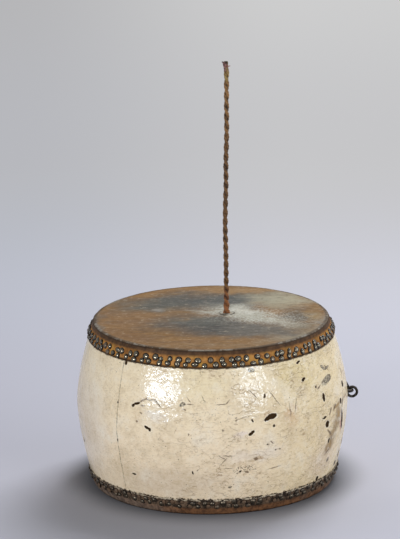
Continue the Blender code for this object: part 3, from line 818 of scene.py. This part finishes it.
def tack_row_tree():
    """A ring of tacks on black rims of grime and painted shadow, leaning with the hide. Its attribute crown
    is a head's height.
    """
    tree = bpy.data.node_groups.new("tack_row", "GeometryNodeTree")
    sockets = {
        "Count": "Int", "Row Radius": "Float", "Row Height": "Float", "Lean": "Float",
        "Start Angle": "Float", "Head Radius": "Float", "Head Height": "Float",
        "Side Wander": "Float", "Height Wander": "Float", "Seed": "Int", "Material": "Material",
    }
    for title, kind in sockets.items():
        tree.interface.new_socket(title, in_out="INPUT", socket_type="NodeSocket" + kind)
    tree.interface.new_socket("Geometry", in_out="OUTPUT", socket_type="NodeSocketGeometry")
    given = tree.nodes.new("NodeGroupInput").outputs

    def add(kind, settings, inputs, output=0):
        node = tree.nodes.new(kind)
        for setting, value in settings.items():
            setattr(node, setting, value)
        for socket, value in inputs.items():
            if isinstance(value, bpy.types.NodeSocket):
                tree.links.new(value, node.inputs[socket])
            else:
                node.inputs[socket].default_value = value
        return node.outputs[output]

    def maths(operation, first, second=0.0):
        return add("ShaderNodeMath", {"operation": operation}, {0: first, 1: second})

    def scatter(low, high, stream):
        seed = maths("ADD", given["Seed"], stream)
        return add("FunctionNodeRandomValue", {"data_type": "FLOAT"}, {2: low, 3: high, "Seed": seed}, 1)

    def vector(x, y, z):
        return add("ShaderNodeCombineXYZ", {}, {0: x, 1: y, 2: z})

    share = maths("DIVIDE", add("GeometryNodeInputIndex", {}, {}), given["Count"])
    even_angle = maths("ADD", maths("MULTIPLY", share, 2 * math.pi), given["Start Angle"])
    angle = maths("ADD", even_angle, maths("MULTIPLY", scatter(-1.0, 1.0, 10), given["Side Wander"]))
    height_wander = maths("MULTIPLY", scatter(-1.0, 1.0, 20), given["Height Wander"])
    height = maths("ADD", given["Row Height"], height_wander)
    spot = vector(
        maths("MULTIPLY", maths("COSINE", angle), given["Row Radius"]),
        maths("MULTIPLY", maths("SINE", angle), given["Row Radius"]),
        height,
    )
    row = add("GeometryNodeMeshLine", {}, {"Count": given["Count"]})
    row = add("GeometryNodeSetPosition", {}, {"Geometry": row, "Position": spot})
    ball = add("GeometryNodeMeshUVSphere", {}, {"Segments": 12, "Rings": 8, "Radius": 1.0})
    crown = add("ShaderNodeSeparateXYZ", {}, {0: add("GeometryNodeInputPosition", {}, {})}, 2)
    store = {"data_type": "FLOAT", "domain": "POINT"}
    dome = add("GeometryNodeStoreNamedAttribute", store, {"Geometry": ball, "Name": "crown", "Value": crown})
    head_size = vector(given["Head Radius"], given["Head Radius"], given["Head Height"])
    dome = add("GeometryNodeTransform", {}, {"Geometry": dome, "Scale": head_size})
    # The rim: a flat black disc under each head, grime and painted shadow round it.
    rim = add("GeometryNodeStoreNamedAttribute", store, {"Geometry": ball, "Name": "crown", "Value": 0.0})
    grime_shade_rim_radius = maths("MULTIPLY", given["Head Radius"], GRIME_SHADE_RIM_SPREAD)
    grime_shade_rim_height = maths("MULTIPLY", given["Head Radius"], GRIME_SHADE_RIM_HEIGHT_SHARE)
    grime_shade_rim_size = vector(grime_shade_rim_radius, grime_shade_rim_radius, grime_shade_rim_height)
    rim = add("GeometryNodeTransform", {}, {"Geometry": rim, "Scale": grime_shade_rim_size})
    head = add("GeometryNodeJoinGeometry", {}, {"Geometry": dome})
    tree.links.new(rim, head.node.inputs["Geometry"])
    facing = vector(scatter(-0.16, 0.16, 30), maths("ADD", given["Lean"], scatter(-0.16, 0.16, 40)), angle)
    placed = {"Points": row, "Instance": head, "Rotation": facing, "Scale": vector(
        scatter(0.78, 1.12, 50), scatter(0.78, 1.12, 60), scatter(0.70, 1.20, 70))}
    heads = add("GeometryNodeInstanceOnPoints", {}, placed)
    store = {"data_type": "FLOAT", "domain": "INSTANCE"}
    tone = scatter(0.0, 1.0, 80)
    heads = add("GeometryNodeStoreNamedAttribute", store, {"Geometry": heads, "Name": "tone", "Value": tone})
    heads = add("GeometryNodeRealizeInstances", {}, {"Geometry": heads})
    heads = add("GeometryNodeSetShadeSmooth", {}, {"Geometry": heads})
    heads = add("GeometryNodeSetMaterial", {}, {"Geometry": heads, "Material": given["Material"]})
    tree.links.new(heads, tree.nodes.new("NodeGroupOutput").inputs["Geometry"])
    return tree


def tack_row(name, height, head_radius, first_quarter, material, seed):
    """Run the tree for one row, and keep the result as a plain mesh that moves with the drum."""
    slope = math.atan2(skirt_radius(height - RIDGE_ROUND) - skirt_radius(height), RIDGE_ROUND)
    start = FIRST_JOINT_ANGLE + first_quarter * math.pi / 2 / TACKS_IN_ROW
    wanted = {
        "Count": TACKS_IN_ROW, "Row Radius": skirt_radius(height), "Row Height": height,
        "Lean": math.pi / 2 - slope, "Start Angle": start,
        "Head Radius": head_radius, "Head Height": head_radius * TACK_HEIGHT_SHARE,
        "Side Wander": TACK_SIDE_WANDER, "Height Wander": TACK_HEIGHT_WANDER, "Seed": seed,
        "Material": material,
    }
    holder = bpy.data.objects.new(name + "_holder", bpy.data.meshes.new(name + "_holder"))
    bpy.context.scene.collection.objects.link(holder)
    modifier = holder.modifiers.new("tack_row", "NODES")
    modifier.node_group = row_tree
    for item in row_tree.interface.items_tree:
        if item.in_out == "INPUT":
            modifier[item.identifier] = wanted[item.name]
    evaluated = holder.evaluated_get(bpy.context.evaluated_depsgraph_get())
    mesh = bpy.data.meshes.new_from_object(evaluated)
    mesh.name = name
    bpy.data.objects.remove(holder, do_unlink=True)
    row = bpy.data.objects.new(name, mesh)
    bpy.context.scene.collection.objects.link(row)
    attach(row, "drum")


row_tree = tack_row_tree()
bright_iron = tack_iron("worn_tack_iron", screen(30, 23, 15), screen(118, 112, 98), 0.50, 0.14, 0.12)
rusted_iron = tack_iron("rusted_tack_iron", screen(38, 31, 24), screen(98, 89, 76), 0.34, 0.34, 0.36)
tack_row("top_tacks_upper", drum_height - TOP_ROW_DEPTHS[0], TOP_TACK_RADIUS, 1, bright_iron, 3)
tack_row("top_tacks_lower", drum_height - TOP_ROW_DEPTHS[1], TOP_TACK_RADIUS, 3, bright_iron, 4)
tack_row("bottom_tacks_upper", BOTTOM_ROW_HEIGHTS[0], BOTTOM_TACK_RADIUS, 1, rusted_iron, 5)
tack_row("bottom_tacks_lower", BOTTOM_ROW_HEIGHTS[1], BOTTOM_TACK_RADIUS, 3, rusted_iron, 6)


# The eye and its ring: forged iron wire, black with age.
# The eye's shank is driven through a stave and clenched inside, and its other end is laid up the wood.
EYE_ANGLE = math.radians(5.5)
EYE_WIRE_RADIUS = 0.0028
EYE_REACH = 0.0105
EYE_TAIL_RISE = 0.0155
EYE_TAIL_TIP_RADIUS = 0.0008
EYE_CLENCH_LENGTH = 0.012
RING_WIRE_RADIUS = 0.0023
RING_RADIUS = 0.0083
STAVE_THICKNESS = 0.014
CLEARANCE = 0.0004
WIRE_SIDES = 16
RING_STEPS = 72
ARCH_STEPS = 24
BEND_STEPS = 8
TAIL_STEPS = 10


def sweep(shape, line, radii, sides, closed=False):
    """Sweep a round section of changing radius along a line of points, and give its rings of points."""
    last = len(line) - 1
    side = (line[1] - line[0]).orthogonal().normalized()
    turns = [2 * math.pi * step / sides for step in range(sides)]
    rings = []
    for index, (place, radius) in enumerate(zip(line, radii)):
        after = line[(index + 1) % len(line)] if closed else line[min(index + 1, last)]
        before = line[index - 1] if closed else line[max(index - 1, 0)]
        ahead = (after - before).normalized()
        side = (side - ahead * side.dot(ahead)).normalized()
        over = ahead.cross(side)
        ring = [place + (side * math.cos(turn) + over * math.sin(turn)) * radius for turn in turns]
        rings.append([shape.verts.new(point) for point in ring])
    joined = list(zip(rings, rings[1:]))
    if closed:
        joined.append((rings[-1], rings[0]))
    for lower, upper in joined:
        for step in range(sides):
            beside = (step + 1) % sides
            shape.faces.new((lower[step], lower[beside], upper[beside], upper[step]))
    if not closed:
        shape.faces.new(rings[0])
        shape.faces.new(rings[-1])
    return rings


def arc(centre, first, second, radius, start_degrees, end_degrees, count):
    """Points along an arc in the plane of two directions."""
    points = []
    for step in range(count + 1):
        turn = math.radians(start_degrees + (end_degrees - start_degrees) * step / count)
        points.append(centre + first * radius * math.cos(turn) + second * radius * math.sin(turn))
    return points


def old_iron():
    """Black forged iron, uneven from the hammer, with brown rust in its hollows."""
    finish = Finish("black_forged_iron")
    hammered = finish.cloud(190.0, 3.0, 0.5)
    rust = finish.cloud(460.0, 4.0, 0.65)
    color = finish.tint(finish.rise(rust, 0.46, 0.70), screen(40, 37, 32), screen(54, 40, 28))
    finish.relief(hammered + rust * 0.4, 0.0008, 0.7)
    return finish.made({
        "Base Color": color,
        "Metallic": finish.rise(rust, 0.46, 0.70, 0.8, 0.2),
        "Roughness": finish.rise(rust, 0.40, 0.72, 0.24, 0.55),
    })


outward = Vector((math.cos(EYE_ANGLE), math.sin(EYE_ANGLE), 0.0))
sideways = Vector((-math.sin(EYE_ANGLE), math.cos(EYE_ANGLE), 0.0))
upward = Vector((0.0, 0.0, 1.0))
surface = wood_radius(middle_height)
leg_place = RING_WIRE_RADIUS + EYE_WIRE_RADIUS + CLEARANCE
bend = 2 * EYE_WIRE_RADIUS
base = upward * middle_height
shank_inside = surface - STAVE_THICKNESS - bend
clench_centre = base - sideways * leg_place + outward * (shank_inside + bend) - upward * bend
arch_centre = base + outward * (surface + EYE_REACH - leg_place)
tail_line = surface + EYE_WIRE_RADIUS + LACQUER_OUTSIDE
tail_centre = base + sideways * leg_place + outward * (tail_line + bend) + upward * bend
tail_tip_reach = wood_radius(middle_height + EYE_TAIL_RISE) + EYE_TAIL_TIP_RADIUS + LACQUER_OUTSIDE
tail_tip = base + sideways * leg_place + outward * tail_tip_reach + upward * EYE_TAIL_RISE
eye_line = [base - sideways * leg_place + outward * shank_inside - upward * EYE_CLENCH_LENGTH]
eye_line += arc(clench_centre, outward, upward, bend, 180, 90, BEND_STEPS)
eye_line += arc(arch_centre, sideways, outward, leg_place, 180, 0, ARCH_STEPS)
eye_line += arc(tail_centre, outward, upward, bend, 270, 180, BEND_STEPS)
tail_start = eye_line[-1]
eye_line += [tail_start.lerp(tail_tip, step / TAIL_STEPS) for step in range(1, TAIL_STEPS + 1)]
eye_radii = []
for index, place in enumerate(eye_line):
    tail_share = max(0.0, (index + 1 - (len(eye_line) - TAIL_STEPS)) / TAIL_STEPS)
    taper = EYE_WIRE_RADIUS + (EYE_TAIL_TIP_RADIUS - EYE_WIRE_RADIUS) * tail_share
    eye_radii.append(taper * (1.0 + 0.06 * noise.noise(place * 260.0)))
eye_radii[0] *= 0.5
eye_shape = bmesh.new()
sweep(eye_shape, eye_line, eye_radii, WIRE_SIDES)
iron = old_iron()
eye = finished("forged_eye", eye_shape, iron)
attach(eye, "drum")
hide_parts("ring_eye")

ring_centre = base + outward * (surface + EYE_REACH)
ring_centre -= upward * (RING_RADIUS - RING_WIRE_RADIUS - EYE_WIRE_RADIUS - CLEARANCE)
ring_line = arc(ring_centre, outward, upward, RING_RADIUS, 0, 360, RING_STEPS)[:-1]
ring_radii = [RING_WIRE_RADIUS * (1.0 + 0.07 * noise.noise(place * 220.0)) for place in ring_line]
ring_shape = bmesh.new()
sweep(ring_shape, ring_line, ring_radii, WIRE_SIDES, closed=True)
ring = finished("forged_ring", ring_shape, iron)
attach(ring, "ring")
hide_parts("hanging_ring")


# The disc and the knot under the top hide: a leather disc spreads the pull of the cord,
# whose end is knotted below it. Both are the solids themselves.
def tan_leather():
    """Creased tan leather."""
    finish = Finish("tan_leather")
    crease = finish.cloud(180.0, 5.0, 0.6)
    finish.relief(crease, 0.0005, 0.6)
    color = finish.tint(crease, screen(90, 58, 36), screen(146, 102, 64))
    return finish.made({"Base Color": color, "Roughness": 0.68})


def knotted_hide():
    """The cord's own dark hide, drawn tight."""
    finish = Finish("knotted_hide")
    fibre = finish.cloud(380.0, 4.0, 0.6)
    finish.relief(fibre, 0.0006, 0.7)
    color = finish.tint(fibre, screen(52, 34, 22), screen(122, 88, 58))
    return finish.made({"Base Color": color, "Roughness": 0.5})


dress("anchor_washer", tan_leather())
dress("cord_knot", knotted_hide())


# The pull cord: two strands of hide twisted together, each made of three thinner yarns.
# It stands up from its hole in the top hide, and the twist is looser towards the tip.
CORD_DIAMETER = 0.008
CORD_PIVOT_RISE = 0.0048
CORD_ROUTE = (
    (0.0000, 0.000), (0.0000, 0.021), (0.0001, 0.042), (0.0003, 0.062), (0.0005, 0.083), (0.0004, 0.104),
    (0.0002, 0.124), (0.0001, 0.145), (0.0006, 0.165), (0.0013, 0.186), (0.0023, 0.206), (0.0028, 0.227),
    (0.0029, 0.247), (0.0036, 0.267), (0.0047, 0.288), (0.0053, 0.308), (0.0054, 0.328), (0.0056, 0.348),
    (0.0060, 0.368), (0.0064, 0.388), (0.0065, 0.408), (0.0062, 0.423),
)
CORD_STEPS = 520
LOW_TWIST = 0.027
HIGH_TWIST = 0.038
STRAND_OFFSET = 0.00155
YARN_OFFSET = 0.0015
YARN_RADIUS = 0.0015
FOOT_SWELL = 0.34
FOOT_SWELL_LENGTH = 0.030
YARN_TURNS = 2.3
YARN_SIDES = 10
YARN_TONES = ((0.40, 0.70, 0.50), (0.35, 0.62, 0.45))
TIP_TAPER_LENGTH = 0.012
TIP_TAPER = 0.35
tip_rise = CORD_ROUTE[-1][1]
cord_low = -CORD_PIVOT_RISE


def cord_centre(rise):
    """The middle of the cord at a rise above its pivot."""
    right = np.interp(rise, [point[1] for point in CORD_ROUTE], [point[0] for point in CORD_ROUTE])
    return Vector((CORD_RIGHT + float(right), CORD_BACK, drum_height + CORD_PIVOT_RISE + rise))


def twist_at(rise):
    """How far the cord has twisted, in turns, at a rise. The twist loosens evenly with height."""
    share = (rise - cord_low) / (tip_rise - cord_low)
    rate = 1 / LOW_TWIST + (1 / HIGH_TWIST - 1 / LOW_TWIST) * share / 2
    return rate * (rise - cord_low)


def cord_hide():
    """Twisted hide, with painted shade in the grooves and painted light on the outer crests. It is redder
    near the drum, and tan and olive near the tip.
    """
    finish = Finish("twisted_hide_cord")
    up = finish.along(finish.place(), 2)
    crest = finish.node("ShaderNodeAttribute", {"attribute_name": "crest"}, {}, 2)
    tone = finish.node("ShaderNodeAttribute", {"attribute_name": "tone"}, {}, 2)
    fibre = finish.cloud(420.0, 4.0, 0.6, finish.place((1.0, 1.0, 0.4)))
    patch = finish.cloud(75.0, 3.0, 0.6)
    # The crest term paints light onto the yarns' outer crests, on top of each yarn's own tone.
    light = finish.rise(tone * 0.8 + crest * 0.4 + (fibre - 0.5) * 0.9 + (patch - 0.5) * 0.8, 0.20, 1.15)
    color = finish.tint(light, screen(34, 21, 11), screen(122, 86, 48))
    wander = (patch - 0.5) * 0.04
    tip_height = drum_height + CORD_PIVOT_RISE + tip_rise
    golden = finish.tint(light, screen(56, 37, 19), screen(150, 110, 64))
    color = finish.tint(finish.rise(up + wander, tip_height - 0.15, tip_height - 0.07), color, golden)
    olive = finish.rise(up + wander, tip_height - 0.040, tip_height - 0.026)
    straw = finish.tint(light, screen(86, 78, 40), screen(176, 162, 96))
    color = finish.tint(olive * (1.0 - tone) * 0.7, color, straw)
    red = finish.tint(light, screen(60, 31, 14), screen(142, 88, 48))
    color = finish.tint(finish.fall(up + wander, drum_height + 0.028, drum_height + 0.056, 0.9), color, red)
    # Painted shade in the grooves, where the crest attribute is low.
    color = finish.tint(finish.fall(crest, 0.10, 0.55) * 0.85, color, screen(34, 22, 12))
    finish.relief(fibre, 0.0006, 0.7)
    return finish.made({"Base Color": color, "Roughness": 0.42, "Specular IOR Level": 0.3})


cord_shape = bmesh.new()
# Crest is how far each point lies from the cord's middle: the shader paints light and shade with it.
crest_shading_layer = cord_shape.verts.layers.float.new("crest")
tone_layer = cord_shape.verts.layers.float.new("tone")
rises = [cord_low + (tip_rise - cord_low) * step / CORD_STEPS for step in range(CORD_STEPS + 1)]
for strand, tones in enumerate(YARN_TONES):
    for yarn, tone in enumerate(tones):
        line = []
        radii = []
        for rise in rises:
            turn = -2 * math.pi * (twist_at(rise) + strand / 2)
            swell = 1.0 + 0.12 * noise.noise(Vector((strand * 7.0 + yarn, 0.0, rise * 70.0)))
            sway = 1.0 + 0.16 * noise.noise(Vector((strand * 3.0, 9.0, rise * 46.0)))
            taper = 1.0 - TIP_TAPER * max(0.0, 1.0 - (tip_rise - rise) / TIP_TAPER_LENGTH)
            taper += FOOT_SWELL * max(0.0, 1.0 - (rise - cord_low) / FOOT_SWELL_LENGTH)
            yarn_turn = -2 * math.pi * (twist_at(rise) * YARN_TURNS + yarn / len(tones))
            place = cord_centre(rise)
            place.x += (STRAND_OFFSET * sway * math.cos(turn) + YARN_OFFSET * math.cos(yarn_turn)) * taper
            place.y += (STRAND_OFFSET * sway * math.sin(turn) + YARN_OFFSET * math.sin(yarn_turn)) * taper
            line.append(place)
            radii.append(YARN_RADIUS * swell * taper)
        for rise, section in zip(rises, sweep(cord_shape, line, radii, YARN_SIDES)):
            middle = cord_centre(rise)
            for vert in section:
                reach = math.hypot(vert.co.x - middle.x, vert.co.y - middle.y) / (CORD_DIAMETER / 2)
                vert[crest_shading_layer] = max(0.0, (reach - 0.4) / 0.6)
                vert[tone_layer] = tone
cord = finished("pull_cord_twisted", cord_shape, cord_hide())
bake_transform(cord)
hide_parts("pull_cord")


# The thread near the tip: a dusky pink thread wound round the cord to stop it unravelling,
# with its loose end standing out and the strands' dark ends frayed above it, bent over to the left.
THREAD_RADIUS = 0.00055
THREAD_TURNS = 11
THREAD_LOW = tip_rise - 0.0165
THREAD_HIGH = tip_rise - 0.0035
THREAD_WIND_RADIUS = 0.0037
THREAD_END_RISE = tip_rise - 0.0080
THREAD_END_LENGTH = 0.0045
THREAD_STEPS_A_TURN = 20
THREAD_END_STEPS = 6
TIP_LEAN = 0.0032
FRAY_COUNT = 22
FRAY_LENGTH = 0.0075
FRAY_RISE = tip_rise - 0.0075
FRAY_SPREAD = 0.0030


def tip_bend(rise):
    """How far the tip has bent to the left at a rise."""
    share = max(0.0, (rise - THREAD_LOW) / (tip_rise - THREAD_LOW))
    return Vector((-TIP_LEAN * share ** 1.5, 0.0, 0.0))


def dusky_thread():
    """Dull silky thread, from plum to faded pink."""
    finish = Finish("dusky_pink_thread")
    tone = finish.cloud(330.0, 3.0)
    color = finish.tint(finish.rise(tone, 0.40, 0.60), screen(92, 56, 50), screen(170, 120, 112))
    finish.relief(tone, 0.0003, 0.6)
    return finish.made({"Base Color": color, "Roughness": 0.55})


def dark_fibre():
    """Dark frayed ends, plum to brown."""
    finish = Finish("dark_frayed_fibre")
    tone = finish.cloud(420.0, 3.0)
    color = finish.tint(finish.rise(tone, 0.40, 0.62), screen(50, 32, 30), screen(116, 80, 74))
    return finish.made({"Base Color": color, "Roughness": 0.7})


thread_line = []
for step in range(THREAD_TURNS * THREAD_STEPS_A_TURN + 1):
    share = step / (THREAD_TURNS * THREAD_STEPS_A_TURN)
    turn = 2 * math.pi * THREAD_TURNS * share
    wind_radius = THREAD_WIND_RADIUS * (1.0 - 0.12 * share + 0.08 * math.sin(turn * 0.37))
    rise = THREAD_LOW + (THREAD_HIGH - THREAD_LOW) * share + 0.0005 * math.sin(turn * 0.61)
    around_cord = Vector((math.cos(turn), math.sin(turn), 0.0)) * wind_radius
    thread_line.append(cord_centre(rise) + tip_bend(rise) + around_cord)
thread_shape = bmesh.new()
sweep(thread_shape, thread_line, [THREAD_RADIUS] * len(thread_line), 8)
end_start = cord_centre(THREAD_END_RISE) + tip_bend(THREAD_END_RISE)
end_start += Vector((THREAD_WIND_RADIUS * 0.8, -0.001, 0.0))
end_line = []
for step in range(THREAD_END_STEPS + 1):
    sag = -0.0006 * math.sin(step)
    end_line.append(end_start + Vector((THREAD_END_LENGTH * step / THREAD_END_STEPS, 0.0, sag)))
sweep(thread_shape, end_line, [THREAD_RADIUS * 1.3] * len(end_line), 8)
whipping = finished("thread_whipping", thread_shape, dusky_thread())
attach(whipping, "cord")
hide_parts("cord_whipping")

fray_shape = bmesh.new()
for number in range(FRAY_COUNT):
    turn = 2 * math.pi * number * 0.381966
    spread = FRAY_SPREAD * math.sqrt((number + 0.5) / FRAY_COUNT)
    aside = Vector((math.cos(turn), math.sin(turn), 0.0)) * spread
    foot = cord_centre(FRAY_RISE) + tip_bend(FRAY_RISE) + aside
    lean = aside * 0.3 - Vector((TIP_LEAN * 0.8, 0.0, 0.0))
    length = FRAY_LENGTH * (0.75 + 0.5 * abs(noise.noise(Vector((number * 3.7, 0.5, 0.0)))))
    line = [foot + lean * (step / 4) ** 2 + Vector((0.0, 0.0, length * step / 4)) for step in range(5)]
    sweep(fray_shape, line, [0.0010, 0.0011, 0.0010, 0.0008, 0.0004], 7)
fray = finished("frayed_tip", fray_shape, dark_fibre())
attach(fray, "cord")

cord_path = [tuple(cord_centre(cord_low))] + [tuple(cord_centre(rise)) for _, rise in CORD_ROUTE]


# The studio: a plain pale floor that reaches out of sight, two soft boxes in front of the drum,
# a dimmer one at its right, a soft light above and behind it to the right, and a pale surround.
FLOOR_REACH = 40.0
LIGHT_DISTANCE = 2.6
LIGHT_COLOR = (0.98, 1.0, 1.03)
SURROUND_COLOR = screen(199, 199, 200)
CONTACT_SHADOW_REACH = 0.07


def floor_paper():
    """Pale paper with painted shadow close round the drum's foot and to its front left. Far off it fades
    into a backdrop for the camera and for gloss.
    """
    finish = Finish("pale_studio_paper")
    place = finish.place()
    away = finish.node("ShaderNodeVectorMath", {"operation": "LENGTH"}, {0: place}, 1)
    side = finish.rise(finish.along(place, 0) / (away + CAMERA_DISTANCE), -0.058, 0.028)
    near = finish.tint(side, screen(194, 200, 212), screen(211, 211, 217))
    middle = finish.tint(side, screen(183, 184, 189), screen(198, 198, 200))
    far = finish.tint(side, screen(182, 182, 184), screen(206, 206, 206))
    backdrop = finish.tint(finish.rise(away, 0.6, 2.4), near, middle)
    backdrop = finish.tint(finish.rise(away, 2.4, 4.6), backdrop, far)
    backdrop = finish.tint(finish.rise(away, 6.0, 16.0), backdrop, SURROUND_COLOR)
    seen = None
    for ray in ("Is Camera Ray", "Is Glossy Ray", "Is Transmission Ray"):
        lit = finish.node("ShaderNodeLightPath")
        lit.socket = lit.socket.node.outputs[ray]
        seen = lit if seen is None else seen.or_more(lit)
    faded = seen * finish.rise(away, 0.5, 2.2)
    # Painted shadow: the paper darkens close round the drum's foot.
    contact_shadow = finish.fall(away, BOTTOM_END_RADIUS - 0.01, BOTTOM_END_RADIUS + CONTACT_SHADOW_REACH)
    paper = finish.tint(contact_shadow * 0.88, screen(190, 190, 200), screen(102, 102, 103))
    # Painted shadow of the drum: a darker oval of paper to its front left.
    shade = finish.oval(place, -0.07, -0.20, 0.28, 0.17, 14)
    paper = finish.tint(finish.rise(shade, 0.1, 0.9, 0.0, 0.50), paper, screen(136, 136, 138))
    color = finish.tint(faded, paper, screen(0, 0, 0))
    glow = finish.tint(faded, screen(0, 0, 0), backdrop)
    return finish.made({
        "Base Color": color,
        "Roughness": 0.9,
        "Specular IOR Level": 0.0,
        "Emission Color": glow,
        "Emission Strength": 1.0,
    })


floor_shape = bmesh.new()
bmesh.ops.create_grid(floor_shape, x_segments=1, y_segments=1, size=FLOOR_REACH)
floor = finished("studio_floor", floor_shape, floor_paper())


def soft_box(name, azimuth_degrees, elevation_degrees, width, height, radiance):
    """A soft box that shines at the drum's middle. Its azimuth is counted from the front to the right."""
    azimuth = math.radians(azimuth_degrees)
    elevation = math.radians(elevation_degrees)
    level = math.cos(elevation)
    away = Vector((math.sin(azimuth) * level, -math.cos(azimuth) * level, math.sin(elevation)))
    lamp = bpy.data.lights.new(name, "AREA")
    lamp.shape = "RECTANGLE"
    lamp.size = width
    lamp.size_y = height
    lamp.energy = radiance * math.pi * width * height
    lamp.color = LIGHT_COLOR
    box = bpy.data.objects.new(name, lamp)
    bpy.context.scene.collection.objects.link(box)
    box.location = Vector((0.0, 0.0, middle_height)) + away * LIGHT_DISTANCE
    box.rotation_euler = away.to_track_quat("Z", "Y").to_euler()
    box.visible_camera = False


soft_box("left_box", -43, 9.7, 1.15, 0.36, 24.5)
soft_box("right_box", 35, 11, 0.95, 0.45, 13.0)
soft_box("side_box", 80, 14, 2.0, 1.6, 2.0)
soft_box("upper_box", 150, 55, 1.2, 1.2, 12.5)


def pale_surround():
    """The room beyond the floor, which is as pale as the paper to the camera and dimmer as a lamp."""
    world = bpy.data.worlds.new("pale_surround")
    world.use_nodes = True
    tree = world.node_tree
    path = tree.nodes.new("ShaderNodeLightPath")
    seen = path.outputs["Is Camera Ray"]
    for ray in ("Is Glossy Ray", "Is Transmission Ray"):
        either = tree.nodes.new("ShaderNodeMath")
        either.operation = "MAXIMUM"
        tree.links.new(seen, either.inputs[0])
        tree.links.new(path.outputs[ray], either.inputs[1])
        seen = either.outputs[0]
    pale = tree.nodes.new("ShaderNodeBackground")
    pale.inputs["Color"].default_value = (*SURROUND_COLOR, 1.0)
    dim = tree.nodes["Background"]
    dim.inputs["Color"].default_value = (0.216, 0.216, 0.221, 1.0)
    shown = tree.nodes.new("ShaderNodeMixShader")
    tree.links.new(seen, shown.inputs[0])
    tree.links.new(dim.outputs[0], shown.inputs[1])
    tree.links.new(pale.outputs[0], shown.inputs[2])
    tree.links.new(shown.outputs[0], tree.nodes["World Output"].inputs["Surface"])
    return world


bpy.context.scene.world = pale_surround()
bpy.context.scene.view_settings.view_transform = "Standard"
